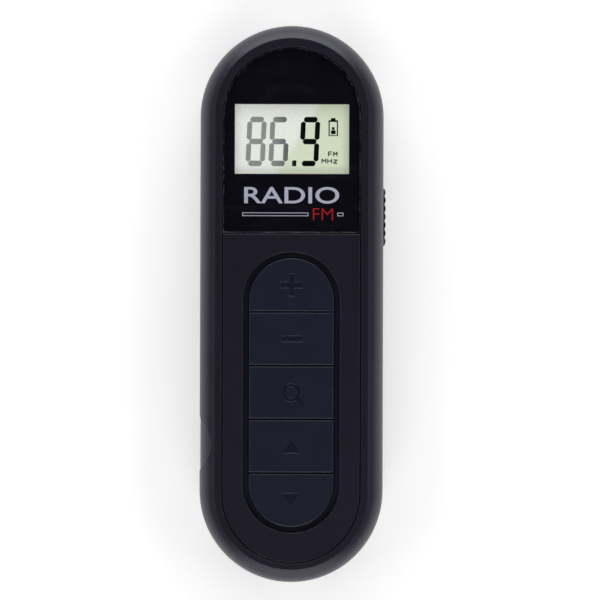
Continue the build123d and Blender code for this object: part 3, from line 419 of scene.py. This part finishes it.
def cell_jacket():
    """Printed sleeve of a cell: a dark body, a gold band at the positive end and steel end caps.

    The two cells lie in opposite directions, so the band is at the other end of the right one.
    """
    t = Tree("cell_jacket")
    low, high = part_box("battery_left")
    middle = (low.y + high.y) / 2
    half = (high.y - low.y) / 2
    side = t.spread(t.axis("X"), -0.1 * MM, 0.1 * MM, 1.0, -1.0)
    along = t.math("MULTIPLY", t.math("SUBTRACT", t.axis("Y"), middle), side)
    band = t.math("GREATER_THAN", along, half - CELL_BAND)
    bare = t.math("GREATER_THAN", t.math("ABSOLUTE", along), half - CELL_CRIMP)
    wrinkle = t.noise(1.5 * MM, detail=4.0, place=t.stretched(1.0, 0.3, 1.0))
    body = t.mix(t.full(wrinkle), rgb(24, 54, 92), rgb(30, 64, 106))
    gold = t.mix(t.full(wrinkle), rgb(176, 150, 92), rgb(196, 168, 108))
    steel = t.mix(t.full(wrinkle), (0.55, 0.55, 0.54, 1), (0.68, 0.68, 0.67, 1))
    t.set(base_color=t.mix(bare, t.mix(band, body, gold), steel))
    t.set(metallic=t.spread(bare, 0.0, 1.0, 0.55, 1.0), roughness=t.full(wrinkle, 0.2, 0.34))
    t.set(normal=t.bump(wrinkle, 0.01 * MM, 0.4))
    return t.material


TABLE_GLOW = 0.36


def floor_paper():
    """Seamless pale backdrop paper on a softly lit table."""
    t = Tree("backdrop_paper")
    fibre = t.noise(0.6 * MM)
    cloud = t.noise(60 * MM, detail=2.0)
    t.set(base_color=t.mix(t.full(cloud), (0.86, 0.86, 0.865, 1), (0.89, 0.89, 0.895, 1)))
    t.set(roughness=t.full(fibre, 0.75, 0.9), specular=0.2)
    t.set(normal=t.bump(fibre, 0.02 * MM, 0.2))
    t.set(emission=(1, 1, 1, 1), emission_strength=TABLE_GLOW)
    return t.material


KEY_ENGRAVED_FROM = KEY_TOP - 0.08 * MM
MATERIALS = {
    "case_plastic": moulded_plastic("case_plastic", rgb(21, 20, 32), wear_and_highlight=0.5),
    "fascia_plastic": moulded_plastic("fascia_plastic", rgb(23, 22, 34), rough=0.34, wear_and_highlight=0.35),
    "key_plastic": moulded_plastic(
        "key_plastic", rgb(21, 24, 40), rough=0.35, grain=0.09 * MM, engraved_below=KEY_ENGRAVED_FROM
    ),
    "slider_plastic": moulded_plastic("slider_plastic", rgb(15, 15, 18), rough=0.42, wear_and_highlight=0.15),
    "lens_acrylic": clear_lens("lens_acrylic", smear=0.05, frosted=True),
    "mask_print": gloss_print(),
    "adhesive": plain_resin("adhesive", rgb(30, 30, 32), rough=0.6),
    "lcd_face": display_face(),
    "lcd_glass": clear_lens("lcd_glass", smear=0.01, tone=(0.95, 0.98, 0.96, 1)),
    "clear_plastic": clear_lens("clear_plastic", smear=0.1, tone=(0.93, 0.95, 0.95, 1)),
    "white_film": plain_resin("white_film", rgb(232, 232, 228), rough=0.35),
    "white_plastic": plain_resin("white_plastic", rgb(222, 221, 214), rough=0.5),
    "elastomer": plain_resin("elastomer", rgb(206, 160, 170), rough=0.7),
    "board_laminate": circuit_board(),
    "chip_resin": plain_resin("chip_resin", rgb(34, 34, 36), rough=0.62),
    "passive_ceramic": plain_resin("passive_ceramic", rgb(160, 140, 112), rough=0.5),
    "ferrite": plain_resin("ferrite", rgb(62, 62, 66), rough=0.6),
    "can_metal": metal("can_metal", (0.72, 0.73, 0.75, 1), rough=0.3),
    "switch_resin": plain_resin("switch_resin", rgb(40, 40, 43), rough=0.5),
    "switch_metal": metal("switch_metal", (0.6, 0.6, 0.6, 1), rough=0.34),
    "plated_steel": metal("plated_steel", (0.76, 0.75, 0.72, 1), rough=0.2, brushed=0.3),
    "screw_steel": metal("screw_steel", (0.42, 0.42, 0.44, 1), rough=0.3),
    "cell_jacket": cell_jacket(),
}
for entry in frame["record"]["subparts"]:
    for material_slot in NODES[entry["node"]].material_slots:
        material_slot.material = MATERIALS[entry["material_slot"]]


# ---- Pieces made here ----
def add_piece(name, mesh, body, material):
    """A mesh as a piece of the object, on a CAD body."""
    piece = bpy.data.objects.new(name, mesh)
    bpy.context.scene.collection.objects.link(piece)
    mesh.materials.clear()
    mesh.materials.append(material)
    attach(piece, body)


def plates(outlines, z, thickness):
    """Flat plates with the given outlines, as one mesh. Outlines run anticlockwise, in millimetres."""
    work = bmesh.new()
    for outline in outlines:
        lower = [work.verts.new((x * MM, y * MM, z)) for x, y in outline]
        upper = [work.verts.new((x * MM, y * MM, z + thickness)) for x, y in outline]
        work.faces.new(list(reversed(lower)))
        work.faces.new(upper)
        for i in range(len(outline)):
            j = (i + 1) % len(outline)
            work.faces.new((lower[i], lower[j], upper[j], upper[i]))
    mesh = bpy.data.meshes.new("plates")
    work.to_mesh(mesh)
    work.free()
    return mesh


def bar(x0, x1, y0, y1):
    return [(x0, y0), (x1, y0), (x1, y1), (x0, y1)]


def lettering(text, x0, x1, y0, y1, weight):
    """Plain letters, fitted into a rectangle given in millimetres. A negative weight thins them."""
    curve = bpy.data.curves.new("lettering", "FONT")
    curve.body = text
    curve.extrude = 0.5
    curve.offset = weight
    curve.resolution_u = 6
    holder = bpy.data.objects.new("lettering", curve)
    bpy.context.scene.collection.objects.link(holder)
    bpy.context.view_layer.update()
    evaluated = holder.evaluated_get(bpy.context.evaluated_depsgraph_get())
    mesh = bpy.data.meshes.new_from_object(evaluated)
    bpy.data.objects.remove(holder)
    low = [min(v.co[i] for v in mesh.vertices) for i in range(3)]
    high = [max(v.co[i] for v in mesh.vertices) for i in range(3)]
    spans = ((x0 * MM, x1 * MM), (y0 * MM, y1 * MM), (PRINT_Z, PRINT_Z + PRINT_THICKNESS))
    for vertex in mesh.vertices:
        for i, (start, stop) in enumerate(spans):
            share = (vertex.co[i] - low[i]) / (high[i] - low[i])
            vertex.co[i] = start + share * (stop - start)
    return mesh


# ---- Print on the film behind the lens ----
PRINT_Z = FILM_TOP + 0.005 * MM
PRINT_THICKNESS = 0.03 * MM
WORD_PLACE = (-10.6, 10.55, 22.35, 26.05)    # left, right, lower and upper side, in millimetres
WORD_WEIGHT = 0.01
BAND_PLACE = (4.7, 9.2, 18.65, 21.3)
BAND_WEIGHT = -0.012
LONG_BAR = (-11.0, 3.7, 19.55, 20.35)
SHORT_BAR = (10.15, 11.5, 19.55, 20.35)
BAR_LINE = 0.16


def outlined_bar(x0, x1, y0, y1):
    """Four thin lines round a rectangle."""
    return [
        bar(x0, x1, y0, y0 + BAR_LINE),
        bar(x0, x1, y1 - BAR_LINE, y1),
        bar(x0, x0 + BAR_LINE, y0 + BAR_LINE, y1 - BAR_LINE),
        bar(x1 - BAR_LINE, x1, y0 + BAR_LINE, y1 - BAR_LINE),
    ]


def add_print():
    """The generic word, the band's name and the thin bar on both sides of that name."""
    silver = ink("print_silver", rgb(186, 188, 204))
    red = ink("print_red", rgb(172, 11, 14))
    word = lettering("RADIO", *WORD_PLACE, WORD_WEIGHT)
    add_piece("print_radio", word, "case", silver)
    band = lettering("FM", *BAND_PLACE, BAND_WEIGHT)
    add_piece("print_fm", band, "case", red)
    lines = outlined_bar(*LONG_BAR) + outlined_bar(*SHORT_BAR)
    add_piece("print_lines", plates(lines, PRINT_Z, PRINT_THICKNESS), "case", silver)


# ---- Display: a slanted seven-segment reading and small marks, in millimetres ----
SEGMENT_Z = FACE_HIGH.z + 0.004 * MM
SEGMENT_THICKNESS = 0.02 * MM
DIGIT_WIDTH = 4.3
DIGIT_HEIGHT = 11.0
DIGIT_BASE = 30.75
DIGIT_PITCH = 5.1
FIRST_DIGIT_X = -10.4
LAST_DIGIT_X = 1.55
FLAT_STROKE = 1.22
UPRIGHT_STROKE = 1.1
CORNER_CUT = 0.36
JOINT_GAP = 0.1
UPRIGHT_START = 0.8              # an upright starts this share of a flat stroke from the digit's end
SLANT = 0.045
POINT_WIDTH = 0.95
POINT_HEIGHT = 1.3
POINT_CUT = 0.12
SEGMENTS = {"8": "abcdefg", "6": "acdefg", "9": "abcdfg"}


def blunt_bar(x0, x1, y0, y1, cut):
    """A bar with its four corners cut off."""
    return [
        (x0 + cut, y0), (x1 - cut, y0), (x1, y0 + cut), (x1, y1 - cut),
        (x1 - cut, y1), (x0 + cut, y1), (x0, y1 - cut), (x0, y0 + cut),
    ]


def segment(kind):
    """Outline of one segment of a digit, before the slant."""
    w, h, gap = DIGIT_WIDTH, DIGIT_HEIGHT, JOINT_GAP
    flat, upright = FLAT_STROKE, UPRIGHT_STROKE
    if kind in "adg":
        low = {"a": h - flat, "g": (h - flat) / 2, "d": 0.0}[kind]
        inset = upright * 0.5 + gap
        return blunt_bar(inset, w - inset, low, low + flat, CORNER_CUT)
    left = 0.0 if kind in "ef" else w - upright
    end = flat * UPRIGHT_START
    if kind in "bf":
        return blunt_bar(left, left + upright, (h + flat * 0.5) / 2 + gap, h - end - gap, CORNER_CUT)
    return blunt_bar(left, left + upright, end + gap, (h - flat * 0.5) / 2 - gap, CORNER_CUT)


def slanted(outline, x):
    return [(x + px + SLANT * py, DIGIT_BASE + py) for px, py in outline]


def digit(figure, x):
    return [slanted(segment(kind), x) for kind in SEGMENTS[figure]]


def stroke(x0, y0, x1, y1, width):
    """A straight stroke between two points, as a plate outline."""
    length = math.hypot(x1 - x0, y1 - y0)
    nx = -(y1 - y0) / length * width / 2
    ny = (x1 - x0) / length * width / 2
    return [(x0 - nx, y0 - ny), (x1 - nx, y1 - ny), (x1 + nx, y1 + ny), (x0 + nx, y0 + ny)]


# Strokes of the plain block letters of the small marks, in a square of side one.
LETTERS = {
    "F": ((0, 0, 0, 1), (0, 1, 1, 1), (0, 0.5, 0.8, 0.5)),
    "M": ((0, 0, 0, 1), (0, 1, 0.5, 0.4), (0.5, 0.4, 1, 1), (1, 1, 1, 0)),
    "H": ((0, 0, 0, 1), (0, 0.5, 1, 0.5), (1, 0, 1, 1)),
    "z": ((0, 0.75, 1, 0.75), (1, 0.75, 0, 0), (0, 0, 1, 0)),
}
MARK_STROKE = 0.22
MARK_HEIGHT = 0.95


def small_mark(text, x0, y0, width):
    """A short word of block letters: each letter takes two thirds of its share of the width."""
    share = width / (len(text) - 1 / 3)
    outlines = []
    for i, letter in enumerate(text):
        left = x0 + i * share
        for ax, ay, bx, by in LETTERS[letter]:
            start = (left + ax * share * 2 / 3, y0 + ay * MARK_HEIGHT)
            end = (left + bx * share * 2 / 3, y0 + by * MARK_HEIGHT)
            outlines.append(stroke(*start, *end, MARK_STROKE))
    return outlines


def battery_mark(x, y, width, height, line):
    """A small cell: its outline, its cap and a charge that narrows above its lower part."""
    body = height * 0.88
    base_line = line * 0.7
    top_line = line * 1.4
    level = y + body * 0.36
    charge = blunt_bar(x + 2 * line, x + width - 2 * line, y + 1.6 * line, level, 0.1)
    tip = bar(x + width * 0.36, x + width * 0.64, level + 0.1, y + body * 0.56)
    return [
        bar(x, x + width, y, y + base_line),
        bar(x, x + line, y + base_line, y + body - top_line),
        bar(x + width - line, x + width, y + base_line, y + body - top_line),
        bar(x, x + width, y + body - top_line, y + body),
        bar(x + width * 0.25, x + width * 0.75, y + body, y + height),
        charge,
        tip,
    ]


def add_display():
    """The reading with its point, and the battery, band and unit marks at its right."""
    outlines = digit("8", FIRST_DIGIT_X)
    outlines += digit("6", FIRST_DIGIT_X + DIGIT_PITCH)
    outlines += digit("9", LAST_DIGIT_X)
    outlines.append(slanted(blunt_bar(0.0, POINT_WIDTH, 0.0, POINT_HEIGHT, POINT_CUT), 0.0))
    outlines += battery_mark(x=8.15, y=37.5, width=2.1, height=4.0, line=0.26)
    outlines += small_mark("FM", x0=8.15, y0=33.0, width=1.9)
    outlines += small_mark("MHz", x0=6.7, y0=31.45, width=3.4)
    mesh = plates(outlines, SEGMENT_Z, SEGMENT_THICKNESS)
    add_piece("lcd_segments", mesh, "case", display_segment())


add_print()
add_display()


# ---- Stage, lights and camera ----
FLOOR_HALF = 4.0
HORIZON = (0.22, 0.22, 0.24, 1)
OVERHEAD = (0.05, 0.05, 0.055, 1)
OVERHEAD_FROM = 0.75             # the sine of the height angle where the room is at its darkest
CAMERA_HEIGHT = 0.412            # above the radio's front
FRAME_WIDTH = 0.135              # what the frame covers where the outline is widest
OUTLINE_DROP = 0.00606           # that outline lies this far below the front
CAMERA_X = 0.00189
CAMERA_Y = 0.0009
CAMERA_ROLL = math.radians(0.17)


def add_floor():
    mesh = bpy.data.meshes.new("floor")
    h = FLOOR_HALF
    mesh.from_pydata([(-h, -h, 0), (h, -h, 0), (h, h, 0), (-h, h, 0)], [], [(0, 1, 2, 3)])
    floor = bpy.data.objects.new("floor", mesh)
    bpy.context.scene.collection.objects.link(floor)
    mesh.materials.append(floor_paper())


def add_softbox(name, bearing, rise, distance, size, watts):
    """A rectangular light that faces the object.

    It stands at a bearing from +X, a height angle and a distance from the object.
    """
    light = bpy.data.lights.new(name, "AREA")
    light.shape = "RECTANGLE"
    light.size, light.size_y = size
    light.energy = watts
    lamp = bpy.data.objects.new(name, light)
    bpy.context.scene.collection.objects.link(lamp)
    a = math.radians(bearing)
    e = math.radians(rise)
    place = Vector((math.cos(a) * math.cos(e), math.sin(a) * math.cos(e), math.sin(e))) * distance
    lamp.location = place
    lamp.rotation_mode = "QUATERNION"
    lamp.rotation_quaternion = (place - Vector((0, 0, FRONT_Z))).to_track_quat("Z", "Y")


def add_world():
    """A dim room that is a little brighter near the horizon than overhead."""
    world = bpy.data.worlds.new("studio")
    world.use_nodes = True
    tree = world.node_tree
    place = tree.nodes.new("ShaderNodeTexCoord")
    split = tree.nodes.new("ShaderNodeSeparateXYZ")
    tree.links.new(place.outputs["Generated"], split.inputs[0])
    ramp = tree.nodes.new("ShaderNodeValToRGB")
    lower, upper = ramp.color_ramp.elements
    lower.position = 0.0
    lower.color = HORIZON
    upper.position = OVERHEAD_FROM
    upper.color = OVERHEAD
    tree.links.new(split.outputs["Z"], ramp.inputs["Fac"])
    background = tree.nodes["Background"]
    tree.links.new(ramp.outputs["Color"], background.inputs["Color"])
    background.inputs["Strength"].default_value = 1.0
    bpy.context.scene.world = world


def add_camera():
    """A camera that looks straight down on the front, as the photograph does."""
    data = bpy.data.cameras.new("camera")
    data.sensor_width = 36.0
    data.lens = data.sensor_width * (CAMERA_HEIGHT + OUTLINE_DROP) / FRAME_WIDTH
    camera = bpy.data.objects.new("camera", data)
    bpy.context.scene.collection.objects.link(camera)
    camera.location = (CAMERA_X, CAMERA_Y, FRONT_Z + CAMERA_HEIGHT)
    camera.rotation_euler = (0, 0, CAMERA_ROLL)
    bpy.context.scene.camera = camera


add_floor()
add_world()
add_softbox("key_top", bearing=90, rise=40, distance=0.75, size=(1.0, 0.4), watts=1.5)
add_softbox("rim_top", bearing=90, rise=15, distance=0.6, size=(0.9, 0.3), watts=2.6)
add_softbox("fill_left", bearing=180, rise=44, distance=0.75, size=(0.5, 0.26), watts=0.95)
add_softbox("fill_right", bearing=0, rise=44, distance=0.75, size=(0.5, 0.26), watts=1.15)
add_softbox("fill_bottom", bearing=270, rise=42, distance=0.75, size=(0.6, 0.26), watts=2.1)
add_softbox("rim_bottom", bearing=270, rise=10, distance=0.6, size=(0.7, 0.15), watts=0.7)
add_camera()
bpy.context.scene.view_settings.view_transform = "Standard"
